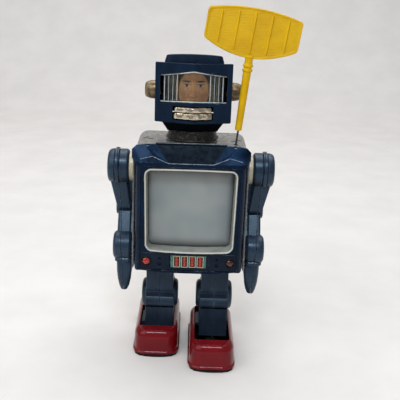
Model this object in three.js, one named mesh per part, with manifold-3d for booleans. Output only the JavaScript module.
// Toy television robot: a battery-driven walking figure of lacquered tin and moulded plastic.
// Millimetres, +Z up, the robot faces -Y. "left" and "right" are the robot's own sides (left is +X).
// The shoes stand at the end of a stride: the left shoe forward, the right shoe back.
import * as THREE from 'three';
import { ConvexGeometry } from 'three/addons/geometries/ConvexGeometry.js';
import { mergeVertices } from 'three/addons/utils/BufferGeometryUtils.js';
import Module from 'manifold-3d';

const wasm = await Module();
wasm.setup();

// ---------------------------------------------------------------- driving dimensions
const GAP = 0.3;                 // clearance between touching pieces
const TIN = 1.2;                 // wall of the pressed tin pieces
const PLASTIC = 1.5;             // wall of the moulded plastic pieces
const ROUND = 14;                // facets of a full circle on ordinary round pieces

// place of the robot's own centre line in the part's frame (origin: middle of the floor outline)
const ORIGIN_X = 6.21;
const ORIGIN_Y = -15.32;

// torso
const BODY_HALF = 44.3;          // half width of the wrapped tin shell
const BODY_FRONT = -28;
const BODY_BACK = 32;
const BODY_BOTTOM = 71;
const BODY_TOP = 171;
const BODY_CORNER = 12;          // radius of the shoulders in front
const BACK_TOP = 168.7;          // the torso falls a little towards the back
const BACK_CORNER = 8;
const COVER_FACE = -36;          // front plane of the blue front cover
const COVER_HALF = 42.2;
const SCREEN_Z = 120.5;          // middle of the screen
const SCREEN_HALF_W = 36.3;
const SCREEN_HALF_H = 33.1;
const PANEL_Z = 78.8;            // middle of the control panel
const LAMP_X = 32.5;
const SHOULDER_Z = 146;
const ARM_INNER_X = 49.6;
const ARM_OUTER_X = 66.2;
const WEB_X = 45.4;              // inner side of the arm, close to the body

// head
const HEAD_HALF = 28.7;
const HEAD_FRONT = -25;
const HEAD_PROW = -33;           // the front face comes forward to a vertical crease
const HEAD_BACK = 24;
const HEAD_BOTTOM = 187.6;
const HEAD_TOP = 232;
const HEAD_REAR_TOP = 226;       // the top of the head falls towards the back
const CAP_TOP = 237.5;
const CAP_RIDGE = 0.9;            // the lid is a little higher along its middle
const EAR_Z = 208;

// antenna
const ANTENNA_X = 34.9;          // foot of the stem
const ANTENNA_Y = -20;
const ANTENNA_Z = 182;
const ANTENNA_LEAN = 5.6 * Math.PI / 180;
const PADDLE_SKEW = 2.4;         // degrees
const PADDLE_RISE = 75.1;        // from the foot of the stem to the middle of the paddle

// legs and shoes
const LEG_X = 22.3;
const LEG_Y = -7;
const LEG_BOTTOM = 8;
const LEG_TOP = BODY_BOTTOM - GAP;
const KNEE_Z = 39.8;
const SHOE_LENGTH = 82;
const SHOE_WIDTH = 37.4;
const SHOE_TOP = 21.5;
const SHOE_SLACK = 1.5;          // both shoes have slid this far towards the robot's right
const TOE_LEFT = -66.6;
const TOE_RIGHT = -45.5;
const ROLLER_OFFSETS = [12, 74]; // places of the rollers behind the toe
const ROLLER_Z = 3.7;
const LEVER_TIP_OFFSET = 49;     // place of the lever's fork behind the toe

// drive: all shafts run across the body in one upright plane
const DRIVE_Y = -8;
const CRANK_Z = 93.2;
const GEAR_MODULE = 1.4;
const WHEEL_TEETH = 15;
const PINION_TEETH = 5;
const GEAR_STEP = GEAR_MODULE * (WHEEL_TEETH + PINION_TEETH) / 2;
const HIP_ROD_Z = 80;
const LEVER_TIP_Z = 3.2;
const GEAR_PLANES = [-6, -0.5, 5];
const CELL_Y = 18.1;
const CELL_Z = [97.1, 123.5];

// ---------------------------------------------------------------- materials
const finish = (color, roughness, metalness = 0) => ({ color, roughness, metalness });
const NAVY_PLASTIC = finish(0x1b2638, 0.45);
const BLUE_TIN = finish(0x12264a, 0.22, 0.55);
const SLATE_TIN = finish(0x252d3a, 0.5, 0.2);
const GREY_TIN = finish(0x8d8c8a, 0.45, 0.6);
const CREAM_PLASTIC = finish(0xd8d4c4, 0.4);
const SCREEN_PLASTIC = finish(0x8b9296, 0.35);
const BRONZE_CHROME = finish(0x9a8a6c, 0.35, 0.8);
const CLEAR_PLASTIC = finish(0xcfd6d8, 0.1);
const FACE_PRINT = finish(0xc98a5e, 0.5);
const YELLOW_PLASTIC = finish(0xf2c40f, 0.4);
const SPRING_STEEL = finish(0x3a3a3c, 0.4, 0.9);
const RED_PLASTIC = finish(0xa3161c, 0.25);
const BLACK_PLASTIC = finish(0x151515, 0.6);
const LAMP_RED = finish(0xc22c1e, 0.15);
const PRINTED_TIN = finish(0x2f6a6c, 0.5);
const STEEL = finish(0x9fa2a6, 0.35, 0.9);
const BRASS = finish(0xb8964a, 0.35, 0.9);
const WHITE_PLASTIC = finish(0xdedbd0, 0.5);
const CELL_JACKET = finish(0x44484d, 0.4, 0.5);

// ---------------------------------------------------------------- solids
function solid(geometry) {
  const bare = geometry.clone();
  for (const name of Object.keys(bare.attributes)) {
    if (name !== 'position') bare.deleteAttribute(name);
  }
  const merged = mergeVertices(bare, 1e-4);
  const mesh = new wasm.Mesh({
    numProp: 3,
    vertProperties: new Float32Array(merged.attributes.position.array),
    triVerts: new Uint32Array(merged.index.array),
  });
  return new wasm.Manifold(mesh);
}

function geometryOf(shape) {
  const mesh = shape.getMesh();
  const geometry = new THREE.BufferGeometry();
  geometry.setAttribute('position', new THREE.BufferAttribute(new Float32Array(mesh.vertProperties), 3));
  geometry.setIndex(new THREE.BufferAttribute(new Uint32Array(mesh.triVerts), 1));
  geometry.computeVertexNormals();
  return geometry;
}

const join = (...shapes) => shapes.reduce((sum, shape) => sum.add(shape));
const cut = (shape, ...tools) => tools.reduce((rest, tool) => rest.subtract(tool), shape);

function box(x0, x1, y0, y1, z0, z1) {
  const geometry = new THREE.BoxGeometry(x1 - x0, y1 - y0, z1 - z0);
  geometry.translate((x0 + x1) / 2, (y0 + y1) / 2, (z0 + z1) / 2);
  return solid(geometry);
}

function hull(points) {
  return solid(new ConvexGeometry(points.map(([x, y, z]) => new THREE.Vector3(x, y, z))));
}

// solid of revolution about X, through the point (0, y, z); profile rows are [x, radius]
function turnedX(profile, y, z, facets = ROUND) {
  const points = profile.map(([x, radius]) => new THREE.Vector2(radius, x));
  const geometry = new THREE.LatheGeometry(points, facets);
  geometry.rotateZ(-Math.PI / 2);
  geometry.translate(0, y, z);
  return solid(geometry);
}

function rodX(radius, x0, x1, y, z, facets = ROUND) {
  return turnedX([[x0, 0], [x0, radius], [x1, radius], [x1, 0]], y, z, facets);
}

// solid of revolution about Y; profile rows are [y, radius], growing y
function turnedY(profile, x, z, facets = ROUND) {
  const points = profile.map(([y, radius]) => new THREE.Vector2(radius, y));
  const geometry = new THREE.LatheGeometry(points, facets);
  geometry.translate(x, 0, z);
  return solid(geometry);
}

function rodY(radius, y0, y1, x, z, facets = ROUND) {
  return turnedY([[y0, 0], [y0, radius], [y1, radius], [y1, 0]], x, z, facets);
}

// solid of revolution about Z; profile rows are [radius, z], growing z
function turnedZ(profile, x, y, facets = ROUND) {
  const points = profile.map(([radius, z]) => new THREE.Vector2(radius, z));
  const geometry = new THREE.LatheGeometry(points, facets);
  geometry.rotateX(Math.PI / 2);
  geometry.translate(x, y, 0);
  return solid(geometry);
}

function rodZ(radius, z0, z1, x, y, facets = ROUND) {
  return turnedZ([[0, z0], [radius, z0], [radius, z1], [0, z1]], x, y, facets);
}

function roundedShape(halfW, halfH, radius) {
  const shape = new THREE.Shape();
  shape.moveTo(-halfW + radius, -halfH);
  shape.lineTo(halfW - radius, -halfH);
  shape.absarc(halfW - radius, -halfH + radius, radius, -Math.PI / 2, 0, false);
  shape.lineTo(halfW, halfH - radius);
  shape.absarc(halfW - radius, halfH - radius, radius, 0, Math.PI / 2, false);
  shape.lineTo(-halfW + radius, halfH);
  shape.absarc(-halfW + radius, halfH - radius, radius, Math.PI / 2, Math.PI, false);
  shape.lineTo(-halfW, -halfH + radius);
  shape.absarc(-halfW + radius, -halfH + radius, radius, Math.PI, 1.5 * Math.PI, false);
  return shape;
}

function polygonShape(points) {
  const shape = new THREE.Shape();
  shape.moveTo(...points[0]);
  for (const point of points.slice(1)) shape.lineTo(...point);
  return shape;
}

// a shape drawn in (x, z) seen from the front, extruded from y0 back to y1, bevelled at the front
function slabY(shape, y0, y1, bevel = 0, centreX = 0, centreZ = 0, curveSegments = 3) {
  const geometry = new THREE.ExtrudeGeometry(shape, {
    depth: y1 - y0 - bevel,
    bevelEnabled: bevel > 0,
    bevelThickness: bevel,
    bevelSize: bevel,
    bevelOffset: -bevel,
    bevelSegments: 1,
    curveSegments,
  });
  geometry.rotateX(Math.PI / 2);
  geometry.translate(centreX, y1, centreZ);
  const whole = solid(geometry);
  const reach = 500;
  return bevel > 0 ? cut(whole, box(-reach, reach, y1, y1 + reach, -reach, reach)) : whole;
}

// a shape drawn in (x, y) seen from above, extruded from z0 up to z1
function slabZ(shape, z0, z1, curveSegments = 3) {
  const geometry = new THREE.ExtrudeGeometry(shape, { depth: z1 - z0, bevelEnabled: false, curveSegments });
  geometry.translate(0, 0, z0);
  return solid(geometry);
}

const toy = new THREE.Group();
toy.position.set(-ORIGIN_X, -ORIGIN_Y, 0);

function addTo(group, name, shape, look) {
  const material = new THREE.MeshStandardMaterial(look);
  const mesh = new THREE.Mesh(geometryOf(shape), material);
  mesh.name = name;
  group.add(mesh);
}

const add = (name, shape, look) => addTo(toy, name, shape, look);
const mirrored = (shape) => shape.mirror([1, 0, 0]);

// ---------------------------------------------------------------- torso casings
function archShape(half, bottom, top, corner) {
  const shape = new THREE.Shape();
  shape.moveTo(-half, bottom);
  shape.lineTo(half, bottom);
  shape.lineTo(half, top - corner);
  shape.absarc(half - corner, top - corner, corner, 0, Math.PI / 2, false);
  shape.lineTo(-half + corner, top);
  shape.absarc(-half + corner, top - corner, corner, Math.PI / 2, Math.PI, false);
  return shape;
}

// corner points of an arch outline in the plane y, for a convex hull
function archPoints(half, bottom, top, corner, y) {
  const outline = archShape(half, bottom, top, corner).extractPoints(5).shape;
  return outline.map((point) => [point.x, y, point.y]);
}

// the torso's outer form from y0 to y1, drawn in by inset all round except below
function torsoForm(inset, bottom, y0, y1) {
  const share = (y) => (y - BODY_FRONT) / (BODY_BACK - BODY_FRONT);
  const section = (y) => archPoints(
    BODY_HALF - inset, bottom,
    BODY_TOP - inset + share(y) * (BACK_TOP - BODY_TOP),
    BODY_CORNER - inset + share(y) * (BACK_CORNER - BODY_CORNER), y);
  return hull([...section(y0), ...section(y1)]);
}

function bodyShell() {
  const outer = torsoForm(0, BODY_BOTTOM, BODY_FRONT, BODY_BACK);
  const inner = torsoForm(TIN, BODY_BOTTOM - 1, BODY_FRONT - 1, BODY_BACK + 1);
  const armHole = rodX(3, -60, 60, 0, SHOULDER_Z);
  const wireHole = rodZ(2.4, BODY_TOP - 4, BODY_TOP + 1, ANTENNA_X - 1.1, ANTENNA_Y, 12);
  const neckHole = rodZ(8, BODY_TOP - 5, BODY_TOP + 1, 0, 0);
  return cut(outer, inner, armHole, wireHole, neckHole);
}

// collar over the screen: two folded wings, a lower middle between them and a raised lip
function collar() {
  const back = BODY_FRONT - GAP;
  const deepen = (points) => [...points, ...points.map(([x, , z]) => [x, back, z])];
  const shoulder = [[36, -29.4, 171], [42, -29.2, 169.9], [45.2, -29, 166.6], [45.2, -28.7, 160]];
  const crease = [[38.6, -34.9, 160.6], [29, COVER_FACE, 163.2], [17, COVER_FACE, 158]];
  const root = [[40.5, -34.6, 154], [17, COVER_FACE, 152]];
  const wing = hull(deepen([...shoulder, ...crease, ...root]));
  const right = [[27, -29.8, 171.4], [36, -29.4, 171], [17, COVER_FACE, 158], [17, COVER_FACE, 152]];
  const left = right.map(([x, y, z]) => [-x, y, z]);
  const middle = hull(deepen([...right, ...left]));
  const lip = box(-27, 27, -30.2, back, 170, 172.8);
  return join(wing, mirrored(wing), middle, lip);
}

function coverPlate() {
  const corner = 5;
  const bottom = 69.6;
  const top = 160;
  const plate = roundedShape(COVER_HALF, (top - bottom) / 2, corner);
  const face = slabY(plate, COVER_FACE, BODY_FRONT - GAP, 2.4, 0, (top + bottom) / 2);
  const chin = hull([
    [-30, -34, bottom + 2], [30, -34, bottom + 2], [-30, -29, bottom + 2], [30, -29, bottom + 2],
    [-20, -34, 68.6], [20, -34, 68.6], [-20, -29, 68.6], [20, -29, 68.6],
  ]);
  return join(face, chin);
}

function frontCover() {
  const flange = slabY(roundedShape(BODY_HALF, 48, 4), -30.2, BODY_FRONT - GAP, 0, 0, 118);
  const screenHole = slabY(
    roundedShape(SCREEN_HALF_W + GAP, SCREEN_HALF_H + GAP, 6), -40, -20, 0, 0, SCREEN_Z);
  const panelSeat = slabY(roundedShape(40.8, 7, 2.5), -40, -33.6, 0, 0, PANEL_Z);
  const panelWindow = box(-38, 38, -40, -20, PANEL_Z - 5.4, PANEL_Z + 5.4);
  return cut(join(coverPlate(), collar(), flange), screenHole, panelSeat, panelWindow);
}

function screenBezel() {
  const outer = slabY(roundedShape(SCREEN_HALF_W, SCREEN_HALF_H, 6), -37.2, -24, 0, 0, SCREEN_Z);
  const corners = [];
  for (const sx of [-1, 1]) {
    for (const sz of [-1, 1]) {
      corners.push([sx * 34.5, -37.3, SCREEN_Z + sz * 31.3]);
      corners.push([sx * 33.2, -26.9, SCREEN_Z + sz * 30]);
    }
  }
  const throat = hull(corners);
  const seat = slabY(roundedShape(34.4, 31.2, 4), -26.9, -23.9, 0, 0, SCREEN_Z);
  return cut(outer, throat, seat);
}

function screenPanel() {
  return slabY(roundedShape(34, 30.8, 4), -26.6, -25, 0, 0, SCREEN_Z);
}

function controlPanel() {
  const plate = slabY(roundedShape(40.5, 6.7, 2.4), -35.6, -33.9, 0, 0, PANEL_Z);
  const lampHoles = [-1, 1].map((side) => rodY(3.6, -40, -30, side * LAMP_X, PANEL_Z));
  const counterWindow = box(-14.4, 14.4, -40, -30, PANEL_Z - 5.4, PANEL_Z + 5.4);
  return cut(plate, ...lampHoles, counterWindow);
}

function counterPlate() {
  const plate = box(-14, 14, -34.8, -33.8, PANEL_Z - 5.1, PANEL_Z + 5.1);
  const barAt = (x) => box(x - 1.7, x + 1.7, -35.5, -34, PANEL_Z - 4.2, PANEL_Z + 4.2);
  const bars = [-9.3, -3.1, 3.1, 9.3].map(barAt);
  return join(plate, ...bars);
}

function lamp(side) {
  const profile = [[-37.4, 0], [-36.9, 1.8], [-35.8, 2.9], [-34.6, 3.2], [-30, 3.2], [-30, 0]];
  return turnedY(profile, side * LAMP_X, PANEL_Z, 16);
}

function backCover() {
  const plateShape = archShape(BODY_HALF, BODY_BOTTOM, BACK_TOP, BACK_CORNER);
  const plate = slabY(plateShape, BODY_BACK + GAP, BODY_BACK + 1.5, 0, 0, 0, 5);
  const lip = slabY(archShape(41.5, 73, BACK_TOP - 3.5, 6), BODY_BACK - 3, BODY_BACK + 1);
  const lipCore = slabY(archShape(40.3, 60, BACK_TOP - 4.7, 5), BODY_BACK - 4, BODY_BACK + 0.4);
  const doorHole = box(-31, 31, 20, 40, 82, 136);
  const switchSlot = box(-8, 8, 20, 40, 149, 153);
  return cut(join(plate, cut(lip, lipCore)), doorHole, switchSlot);
}

function batteryDoor() {
  const plate = box(-30.7, 30.7, BODY_BACK + GAP, BODY_BACK + 2, 82.4, 135.7);
  const ribAt = (z) => box(-14, 14, BODY_BACK + 1.5, BODY_BACK + 2.8, z, z + 1);
  const ribs = [121, 124, 127].map(ribAt);
  return join(plate, ...ribs);
}

function switchSlider() {
  const plate = box(-9, 3, BODY_BACK - 1.5, BODY_BACK - 0.1, 147.5, 154.5);
  const knob = box(-6.5, 0.5, BODY_BACK - 1, BODY_BACK + 4, 149.4, 152.6);
  return join(plate, knob);
}

function chassisFloor() {
  const plate = box(-42.8, 42.8, BODY_FRONT + GAP, BODY_BACK - 3.5, BODY_BOTTOM, BODY_BOTTOM + 1.5);
  const slotAt = (x) => box(x - 3, x + 3, DRIVE_Y - 8, DRIVE_Y + 8, 60, 90);
  const postAt = (x) => box(x - 0.6, x + 0.6, DRIVE_Y - 4, DRIVE_Y + 4, BODY_BOTTOM + 1, 83);
  const slots = [-LEG_X, LEG_X].map(slotAt);
  const posts = [-32, -12.5, 12.5, 32].map(postAt);
  const holes = rodX(1.8, -40, 40, DRIVE_Y, HIP_ROD_Z, 16);
  return cut(join(plate, ...posts), ...slots, holes);
}

// ---------------------------------------------------------------- head
function prowShape(half, front, prow, back) {
  return polygonShape([[-half, front], [0, prow], [half, front], [half, back], [-half, back]]);
}

// height of the head's sloping top at y, for a surface that is level in front of the visor
function crownZ(top, y) {
  const share = Math.max(0, (y - HEAD_FRONT) / (HEAD_BACK - HEAD_FRONT));
  return top + share * (HEAD_REAR_TOP - HEAD_TOP);
}

function headForm(inset, bottom, top) {
  const nose = HEAD_PROW + 1.7 * inset / 1.6;
  const front = HEAD_FRONT + 1.7 * inset / 1.6;
  const half = HEAD_HALF - inset;
  const back = HEAD_BACK - inset;
  const points = [];
  for (const [x, y] of [[0, nose], [-half, front], [half, front], [-half, back], [half, back]]) {
    points.push([x, y, bottom]);
    points.push([x, y, crownZ(top, y)]);
  }
  return hull(points);
}

function headShell() {
  const wall = 1.6;
  const outer = headForm(0, HEAD_BOTTOM, HEAD_TOP);
  const inner = headForm(wall, HEAD_BOTTOM - 1, HEAD_TOP - wall);
  const visorOpening = polygonShape([[-24.9, 202], [24.9, 202], [24.9, 223], [0, 226.9], [-24.9, 223]]);
  const mouthOpening = polygonShape([[-15.2, 190], [15.2, 190], [15.2, 200.6], [-15.2, 200.6]]);
  const earHoles = rodX(4, -40, 40, 0, EAR_Z);
  return cut(outer, inner, slabY(visorOpening, -40, -15), slabY(mouthOpening, -40, -15), earHoles);
}

function headCap() {
  const rings = [[22.2, 17.5, HEAD_TOP + GAP], [21, 16.4, CAP_TOP - 1], [17, 14.5, CAP_TOP]];
  const chamfer = 5;
  const centreY = -3;
  const points = [];
  for (const [halfX, halfY, z] of rings) {
    for (const sx of [-1, 1]) {
      for (const sy of [-1, 1]) {
        for (const [x, y] of [[halfX, halfY - chamfer], [halfX - chamfer, halfY]]) {
          const placeY = sy * y + centreY;
          points.push([sx * x, placeY, crownZ(z, placeY)]);
        }
      }
    }
  }
  for (const y of [centreY - 14.5, centreY + 14.5]) points.push([0, y, crownZ(CAP_TOP + CAP_RIDGE, y)]);
  return hull(points);
}

// V-shaped sheet that follows the prow, set a little behind the head's face
function prowSheet(half, setback, thickness, outline) {
  const sheet = slabZ(polygonShape([
    [-half, HEAD_FRONT + setback + 1.3], [0, HEAD_PROW + setback], [half, HEAD_FRONT + setback + 1.3],
    [half, HEAD_FRONT + setback + 1.3 + thickness], [0, HEAD_PROW + setback + thickness],
    [-half, HEAD_FRONT + setback + 1.3 + thickness],
  ]), 180, 240);
  return sheet.intersect(slabY(polygonShape(outline), -60, 10));
}

function visorLens() {
  const half = 24.6;
  const outline = [[-half, 202.4], [half, 202.4], [half, 222.7], [0, 226.5], [-half, 222.7]];
  return prowSheet(half, 0.8, 1.6, outline);
}

function facePlate() {
  const card = box(-24, 24, -14.5, -13, 199, 228);
  const relief = new THREE.SphereGeometry(1, 14, 8);
  relief.scale(13, 8.5, 18);
  relief.translate(0, -14.2, 212.5);
  const bust = solid(relief).intersect(box(-20, 20, -30, -13.5, 200, 226));
  return join(card, bust);
}

function mouthGrille() {
  const half = 14.2;
  const outline = (z0, z1) => [[-half, z0], [half, z0], [half, z1], [-half, z1]];
  const bar = (z0, z1, proud) => prowSheet(half, -proud - 0.4, proud + 1, outline(z0, z1));
  const back = prowSheet(half, 0.2, 2, outline(190.8, 199.8));
  return join(back, bar(190.8, 194.7, 2), bar(195.3, 199.8, 1.2));
}

function ear() {
  const profile = [[25, 0], [25, 3.6], [HEAD_HALF + GAP, 3.6], [HEAD_HALF + GAP, 7.2], [34, 6.9],
    [37, 5.6], [37.6, 4.4], [37.6, 0]];
  return turnedX(profile, 0, EAR_Z);
}

function neckCone() {
  const points = [];
  for (const [half, z] of [[23.3, HEAD_BOTTOM - GAP], [19.4, 179.6]]) {
    for (const sx of [-1, 1]) {
      for (const sy of [-1, 1]) points.push([sx * half, sy * (half - 1.5) - 1, z]);
    }
  }
  return hull(points);
}

function neckCollar() {
  const foot = BODY_TOP + GAP;
  return turnedZ([[0, foot], [20.4, foot], [19.2, 173.4], [18.6, 179.3], [0, 179.3]], 0, -1);
}

// ---------------------------------------------------------------- antenna
function paddleOutline() {
  const shape = new THREE.Shape();
  const half = 35.2;
  const end = 11.1;
  const crown = 15.5;
  const belly = 21;
  shape.moveTo(-half, -end);
  shape.quadraticCurveTo(0, -2 * belly + end, half, -end);
  shape.lineTo(half, end);
  shape.quadraticCurveTo(0, 2 * crown - end, -half, end);
  return shape;
}

function antennaReflector() {
  const plate = slabY(paddleOutline(), -1.1, 1.1, 0, 0, 0, 8);
  const ribs = [-2, -1, 0, 1, 2].map((k) => {
    const taper = 1.1 * k * k;
    return box(k * 12.3 - 0.9, k * 12.3 + 0.9, -2, 2, taper - 19, 14 - taper / 2);
  });
  const paddle = join(plate, ...ribs).rotate([0, PADDLE_SKEW, 0]).translate([0, 0, PADDLE_RISE]);
  const stem = turnedZ([
    [0, 0], [2.6, 0], [3, 43], [3, 44.2], [3.8, 45], [3.8, 46.2], [2.7, 47],
    [2.7, 47.9], [3.8, 48.7], [3.8, 49.9], [2.9, 50.7], [2.9, 57], [0, 57]], 0, 0, 16);
  const socket = rodZ(0.95, -1, 12, 0, 0, 10);
  return cut(join(paddle, stem), socket);
}

function antennaWire() {
  return rodZ(0.75, -18, 11.5, 0, 0, 8);
}

function addAntenna() {
  const antenna = new THREE.Group();
  antenna.position.set(ANTENNA_X, ANTENNA_Y, ANTENNA_Z);
  antenna.rotation.y = ANTENNA_LEAN;
  addTo(antenna, 'antenna_reflector', antennaReflector(), YELLOW_PLASTIC);
  addTo(antenna, 'antenna_wire', antennaWire(), SPRING_STEEL);
  toy.add(antenna);
}

// ---------------------------------------------------------------- arms (left, mirrored to the right)
function arm() {
  const shoulder = turnedX([
    [ARM_INNER_X, 0], [ARM_INNER_X, 12.6], [51, 13.8], [64, 13.8], [ARM_OUTER_X, 11.6], [ARM_OUTER_X, 0],
  ], 0, SHOULDER_Z);
  const upper = hull(frame4([51, 65, -8, 8, 140], [47.6, 58.6, -3.5, 9.5, 111]));
  const elbow = turnedX([[47.2, 0], [47.2, 6.6], [59, 6.6], [60, 5.6], [60, 0]], 5, 110.5, 16);
  const fore = hull(frame4([47.2, 57.6, -6, 9, 109], [46.8, 57.6, -21, -8, 88]));
  const cuff = turnedX([
    [45.6, 0], [45.6, 9.4], [47.4, 11.7], [58, 11.7], [60.4, 9], [60.4, 0],
  ], -15, 84);
  const upperWeb = hull(frame4([WEB_X, 56, 1, 8, 133.8], [WEB_X, 52, 3, 9.5, 108]));
  const foreWeb = hull(frame4([WEB_X, 52, -2, 9, 110], [WEB_X, 52, -19, -10, 88]));
  const hand = hull(frame4(
    [46.2, 57.6, -21, -9, 77], [45.2, 57.4, -23.5, -7.5, 72], [45.4, 57, -25, -8.5, 62],
    [48.6, 54.4, -22.5, -12, 47]));
  const grip = join(rodX(4.2, 40, 70, -15.6, 59, 16), box(40, 70, -18.2, -13.2, 40, 59));
  const shaftHole = rodX(1.9, 40, 60.5, 0, SHOULDER_Z, 16);
  return cut(join(shoulder, upper, elbow, fore, cuff, upperWeb, foreWeb, cut(hand, grip)), shaftHole);
}

// corner points of stacked rectangles, rows are [x0, x1, y0, y1, z]
function frame4(...rows) {
  const points = [];
  for (const [x0, x1, y0, y1, z] of rows) {
    for (const x of [x0, x1]) {
      for (const y of [y0, y1]) points.push([x, y, z]);
    }
  }
  return points;
}

// the moulding seam leans in from the shoulder to the hand
function seamSide(outside, gap) {
  const top = [58.6, 165];
  const bottom = [51, 40];
  const far = outside ? 90 : 20;
  const offset = outside ? gap : -gap;
  const outline = [
    [top[0] + offset, top[1]], [far, top[1]], [far, bottom[1]], [bottom[0] + offset, bottom[1]]];
  return slabY(polygonShape(outline), -60, 60);
}

function armShaft() {
  return rodX(1.6, 30, 60.2, 0, SHOULDER_Z, 12);
}

function shoulderWasher() {
  const disc = rodX(11.4, BODY_HALF + GAP, ARM_INNER_X - GAP, 0, SHOULDER_Z);
  return cut(disc, rodX(1.9, 40, 60, 0, SHOULDER_Z, 16));
}

// ---------------------------------------------------------------- legs (built on the left)
function leg() {
  const halfDepth = 14.5;
  const column = (half, z0, z1, front = 0) => box(
    LEG_X - half, LEG_X + half, LEG_Y - halfDepth - front, LEG_Y + halfDepth, z0, z1);
  const discProfile = [[-14.9, 0], [-14.9, 10], [-13, 12], [13, 12], [14.9, 10], [14.9, 0]];
  const kneeDisc = turnedX(discProfile.map(([x, radius]) => [LEG_X + x, radius]), LEG_Y, KNEE_Z);
  const thigh = column(11, KNEE_Z, LEG_TOP);
  const shin = column(11.7, LEG_BOTTOM, 32);
  const kneeBlock = column(11.5, 33, 46.8, 0.8);
  const neck = column(10.9, 30, 34);
  const toes = box(LEG_X - 14.6, LEG_X + 14.6, LEG_Y - 10, LEG_Y + 10, 15.4, 17.4);
  const inside = halfDepth - PLASTIC;
  const hollow = box(LEG_X - 9.6, LEG_X + 9.6, LEG_Y - inside, LEG_Y + inside, 0, 80);
  return cut(join(kneeDisc, thigh, shin, kneeBlock, neck, toes), hollow);
}

function legHalf(outside) {
  const seam = 0.15;
  const side = outside
    ? box(LEG_X + seam, LEG_X + 30, -60, 60, 0, 90)
    : box(LEG_X - 30, LEG_X - seam, -60, 60, 0, 90);
  return leg().intersect(side);
}

// swinging lever: forked round the eccentric above, its tip in the shoe's fork below
function leverProfile(tipShift) {
  const reach = HIP_ROD_Z - LEVER_TIP_Z;
  const lean = tipShift / reach;
  const at = (along, above) => [
    DRIVE_Y + along * Math.cos(lean) - above * Math.sin(lean),
    HIP_ROD_Z + above * Math.cos(lean) + along * Math.sin(lean)];
  const fork = 6.8;
  const top = 17.5;
  return [
    at(-1.5, -reach), at(1.5, -reach), at(1.5, -6), at(4, -3), at(fork + 2, 6), at(fork + 2, top),
    at(fork, top), at(fork, 7), at(2, 3.2), at(-2, 3.2), at(-fork, 7), at(-fork, top),
    at(-fork - 2, top), at(-fork - 2, 6), at(-4, -3), at(-1.5, -6),
  ];
}

function legLever(side, tipShift) {
  const shape = polygonShape(leverProfile(tipShift));
  const geometry = new THREE.ExtrudeGeometry(shape, { depth: 1.6, bevelEnabled: false });
  geometry.rotateX(Math.PI / 2);
  geometry.rotateZ(Math.PI / 2);
  geometry.translate(side * LEG_X - 0.8, 0, 0);
  return cut(solid(geometry), rodX(1.8, -40, 40, DRIVE_Y, HIP_ROD_Z, 16));
}

// ---------------------------------------------------------------- shoes (toe at the origin, heel towards +Y)
function soleOutline(width, length, inset = 0) {
  const half = width / 2 - inset;
  const toe = 10;
  const heel = 7;
  const shape = new THREE.Shape();
  shape.moveTo(-half + toe, inset);
  shape.quadraticCurveTo(0, inset - 1.2, half - toe, inset);
  shape.quadraticCurveTo(half, inset + 1, half, inset + toe);
  shape.lineTo(half, length - inset - heel);
  shape.quadraticCurveTo(half, length - inset, half - heel, length - inset);
  shape.lineTo(-half + heel, length - inset);
  shape.quadraticCurveTo(-half, length - inset, -half, length - inset - heel);
  shape.lineTo(-half, inset + toe);
  shape.quadraticCurveTo(-half, inset + 1, -half + toe, inset);
  return shape;
}

function shoeUpper() {
  const flange = slabZ(soleOutline(SHOE_WIDTH + 1, SHOE_LENGTH), 2, 4);
  const tier = ([inset, z0, z1]) => slabZ(soleOutline(SHOE_WIDTH, SHOE_LENGTH, inset), z0, z1);
  const tiers = [[0.6, 3.5, 18.2], [1.4, 18, 20.2], [3, 20, SHOE_TOP]];
  const wall = join(flange, ...tiers.map(tier));
  const half = SHOE_WIDTH / 2;
  const cavity = box(-half + 2.2, half - 2.2, 8, SHOE_LENGTH - 2.6, 0, SHOE_TOP - 2.9);
  const opening = box(-14, 14, 13, 76, 10, SHOE_TOP + 5);
  return cut(wall, cavity, opening);
}

function sole() {
  const plate = slabZ(soleOutline(SHOE_WIDTH - 1, SHOE_LENGTH, 0.6), 0, 1.7);
  const slots = ROLLER_OFFSETS.map((y) => box(-8.5, 8.5, y - 3.9, y + 3.9, -1, 3));
  const cheeks = [];
  for (const y of ROLLER_OFFSETS) {
    for (const side of [-1, 1]) cheeks.push(box(side * 9.4 - 0.8, side * 9.4 + 0.8, y - 2, y + 2, 1.5, 7));
  }
  const forks = [-1, 1].map((side) => {
    const near = LEVER_TIP_OFFSET + side * 2.3;
    return box(-4, 4, Math.min(near, near + side * 1.5), Math.max(near, near + side * 1.5), 1.5, 5.4);
  });
  const axleHoles = ROLLER_OFFSETS.map((y) => rodX(1.3, -12, 12, y, ROLLER_Z, 10));
  return cut(join(plate, ...cheeks, ...forks), ...slots, ...axleHoles);
}

function roller(y) {
  const profile = [[-10, 0], [-10, 1], [-8, 1], [-8, 3.5], [8, 3.5], [8, 1], [10, 1], [10, 0]];
  return turnedX(profile, y, ROLLER_Z, 12);
}

function addShoe(side, x, toe) {
  const shoe = new THREE.Group();
  shoe.position.set(x, toe, 0);
  addTo(shoe, `shoe_${side}`, shoeUpper(), RED_PLASTIC);
  addTo(shoe, `sole_${side}`, sole(), BLACK_PLASTIC);
  addTo(shoe, `roller_${side}_front`, roller(ROLLER_OFFSETS[0]), WHITE_PLASTIC);
  addTo(shoe, `roller_${side}_rear`, roller(ROLLER_OFFSETS[1]), WHITE_PLASTIC);
  toy.add(shoe);
}

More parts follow.
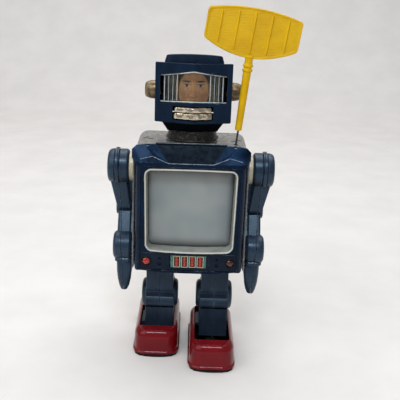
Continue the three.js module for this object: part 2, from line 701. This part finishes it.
// ---------------------------------------------------------------- drive and power
// toothed disc about X; phase turns a tooth (0) or a gap (0.5) towards +Z
function gear(teeth, x0, x1, y, z, phase) {
  const pitch = GEAR_MODULE * teeth / 2;
  const points = [];
  for (let tooth = 0; tooth < teeth; tooth += 1) {
    const centre = (tooth + phase) / teeth * 2 * Math.PI;
    const step = 2 * Math.PI / teeth;
    const flank = [[-0.24, pitch - 1.05], [-0.1, pitch + 0.75], [0.1, pitch + 0.75], [0.24, pitch - 1.05]];
    for (const [share, radius] of flank) {
      const angle = centre + share * step;
      points.push([radius * Math.sin(angle), radius * Math.cos(angle)]);
    }
  }
  const shape = polygonShape(points);
  const geometry = new THREE.ExtrudeGeometry(shape, { depth: x1 - x0, bevelEnabled: false });
  geometry.rotateX(Math.PI / 2);
  geometry.rotateZ(Math.PI / 2);
  geometry.translate(x0, y, z);
  return solid(geometry);
}

const gearX = (plane) => [GEAR_PLANES[plane] - 1.4, GEAR_PLANES[plane] + 1.4];
const shaftZ = (level) => CRANK_Z + level * GEAR_STEP;

function driveGear(wheelPlane, pinionPlane, level) {
  const z = shaftZ(level);
  const wheel = gear(WHEEL_TEETH, ...gearX(wheelPlane), DRIVE_Y, z, 0.5);
  const pinion = gear(PINION_TEETH, ...gearX(pinionPlane), DRIVE_Y, z, 0.5);
  const hub = rodX(2.2, GEAR_PLANES[0] - 1, GEAR_PLANES[2] + 1, DRIVE_Y, z, 12);
  const shaft = rodX(1.1, -12, 12, DRIVE_Y, z, 10);
  return join(wheel, pinion, hub, shaft);
}

function discDriveGear() {
  const z = shaftZ(2);
  const tyreProfile = [[27.7, 0], [27.7, 13.6], [28.3, 14.6], [29.7, 14.6], [30.3, 13.6], [30.3, 0]];
  const tyre = turnedX(tyreProfile, DRIVE_Y, z);
  return join(driveGear(0, 1, 2), rodX(1.1, 10, 29, DRIVE_Y, z, 10), tyre);
}

function crankshaft() {
  const wheel = gear(WHEEL_TEETH, ...gearX(2), DRIVE_Y, CRANK_Z, 0.5);
  const shaft = rodX(1.2, -26, 26, DRIVE_Y, CRANK_Z, 12);
  const crankThrow = 1.2;
  const eccentrics = [-1, 1].map((side) => rodX(
    3, side * LEG_X - 1.6, side * LEG_X + 1.6, DRIVE_Y - side * crankThrow, CRANK_Z, 16));
  return join(wheel, shaft, ...eccentrics);
}

function motorPinion() {
  const z = shaftZ(3);
  return join(gear(PINION_TEETH, ...gearX(0), DRIVE_Y, z, 0.5), rodX(0.9, -10.7, -3, DRIVE_Y, z, 10));
}

function motor() {
  const z = shaftZ(3);
  const can = rodX(10.2, -38, -11.8, DRIVE_Y, z);
  const flat = box(-50, 0, DRIVE_Y - 8, DRIVE_Y + 8, z - 20, z + 20);
  const boss = rodX(3, -40, -37, DRIVE_Y, z, 12);
  return join(can.intersect(flat), boss);
}

function gearboxFrame() {
  const low = 86;
  const high = 144;
  const outer = box(-10.6, 10.6, -21, 1.2, low, high);
  const inner = box(-9.6, 9.6, -20.2, 2, low - 1, high + 1);
  const holes = [0, 1, 2, 3].map((level) => rodX(1.5, -20, 20, DRIVE_Y, shaftZ(level), 12));
  const discHole = rodY(1.5, -30, -19, 0, SCREEN_Z, 12);
  return cut(outer, inner, ...holes, discHole);
}

function pictureDisc() {
  const disc = rodY(31, -23.8, -23, 0, SCREEN_Z, 36);
  return join(disc, rodY(4, -23.4, -21.4, 0, SCREEN_Z, 12), rodY(1.1, -22, -19.9, 0, SCREEN_Z, 10));
}

function bulb() {
  const profile = [[-20.5, 0], [-19.6, 2.6], [-17.4, 4], [-15, 4], [-13, 3], [-12, 2.8], [-6, 2.8], [-6, 0]];
  return turnedY(profile, -24, 106, 16);
}

function batteryBox() {
  const outer = box(-27, 27, 3.8, 31.7, 82.6, 138);
  const inner = box(-26, 26, 5, 40, 83.8, 136.8);
  return cut(outer, inner);
}

// the two cells lie across the body, one above the other, pointing opposite ways
function cell(level) {
  const profile = [
    [-22.6, 0], [-22.6, 12.5], [-21.8, 13], [22.8, 13], [23.4, 12.4], [23.4, 3.4], [25.2, 3.4], [25.2, 0]];
  const shape = turnedX(profile, CELL_Y, CELL_Z[level]);
  return level === 1 ? mirrored(shape) : shape;
}

function contactSpring(level) {
  const turns = 2.5;
  const steps = 32;
  const points = [];
  for (let step = 0; step <= steps; step += 1) {
    const share = step / steps;
    const radius = 7 - 3 * share;
    const angle = turns * 2 * Math.PI * share;
    points.push(new THREE.Vector3(2.1 * share - 25.4, radius * Math.cos(angle), radius * Math.sin(angle)));
  }
  const wire = new THREE.Shape();
  wire.absarc(0, 0, 0.3, 0, 2 * Math.PI, false);
  const path = new THREE.CatmullRomCurve3(points);
  const geometry = new THREE.ExtrudeGeometry(wire, {
    extrudePath: path,
    steps: 30,
    curveSegments: 2,
    bevelEnabled: false,
  });
  geometry.translate(0, CELL_Y, CELL_Z[level]);
  const shape = solid(geometry);
  return level === 1 ? mirrored(shape) : shape;
}

// ---------------------------------------------------------------- assembly
add('body_shell', bodyShell(), GREY_TIN);
add('front_cover', frontCover(), BLUE_TIN);
add('screen_bezel', screenBezel(), CREAM_PLASTIC);
add('screen_panel', screenPanel(), SCREEN_PLASTIC);
add('control_panel', controlPanel(), SLATE_TIN);
add('counter_plate', counterPlate(), PRINTED_TIN);
add('lamp_left', lamp(1), LAMP_RED);
add('lamp_right', lamp(-1), LAMP_RED);
add('back_cover', backCover(), GREY_TIN);
add('battery_door', batteryDoor(), GREY_TIN);
add('switch_slider', switchSlider(), BLACK_PLASTIC);
add('chassis_floor', chassisFloor(), STEEL);

add('head_shell', headShell(), NAVY_PLASTIC);
add('head_cap', headCap(), NAVY_PLASTIC);
add('visor_lens', visorLens(), CLEAR_PLASTIC);
add('face_plate', facePlate(), FACE_PRINT);
add('mouth_grille', mouthGrille(), BRONZE_CHROME);
add('ear_left', ear(), BRONZE_CHROME);
add('ear_right', mirrored(ear()), BRONZE_CHROME);
add('neck_cone', neckCone(), NAVY_PLASTIC);
add('neck_collar', neckCollar(), GREY_TIN);
addAntenna();

for (const [side, place] of [['left', (shape) => shape], ['right', mirrored]]) {
  add(`arm_${side}_outer`, place(arm().intersect(seamSide(true, 0.15))), NAVY_PLASTIC);
  add(`arm_${side}_inner`, place(arm().intersect(seamSide(false, 0.15))), NAVY_PLASTIC);
  add(`arm_shaft_${side}`, place(armShaft()), STEEL);
  add(`shoulder_washer_${side}`, place(shoulderWasher()), CREAM_PLASTIC);
  add(`leg_${side}_outer`, place(legHalf(true)), NAVY_PLASTIC);
  add(`leg_${side}_inner`, place(legHalf(false)), NAVY_PLASTIC);
}
add('leg_lever_left', legLever(1, TOE_LEFT + LEVER_TIP_OFFSET - DRIVE_Y), STEEL);
add('leg_lever_right', legLever(-1, TOE_RIGHT + LEVER_TIP_OFFSET - DRIVE_Y), STEEL);
addShoe('left', LEG_X - SHOE_SLACK, TOE_LEFT);
addShoe('right', -LEG_X - SHOE_SLACK, TOE_RIGHT);
add('hip_rod', rodX(1.5, -34, 34, DRIVE_Y, HIP_ROD_Z, 12), STEEL);

add('gearbox_frame', gearboxFrame(), STEEL);
add('motor', motor(), STEEL);
add('motor_pinion', motorPinion(), BRASS);
add('drive_gear_1', discDriveGear(), BRASS);
add('drive_gear_2', driveGear(1, 2, 1), BRASS);
add('crankshaft', crankshaft(), STEEL);
add('picture_disc', pictureDisc(), CLEAR_PLASTIC);
add('bulb', bulb(), CLEAR_PLASTIC);
add('battery_box', batteryBox(), BLACK_PLASTIC);
add('battery_cell_1', cell(0), CELL_JACKET);
add('battery_cell_2', cell(1), CELL_JACKET);
add('contact_spring_1', contactSpring(0), STEEL);
add('contact_spring_2', contactSpring(1), STEEL);

export default toy;
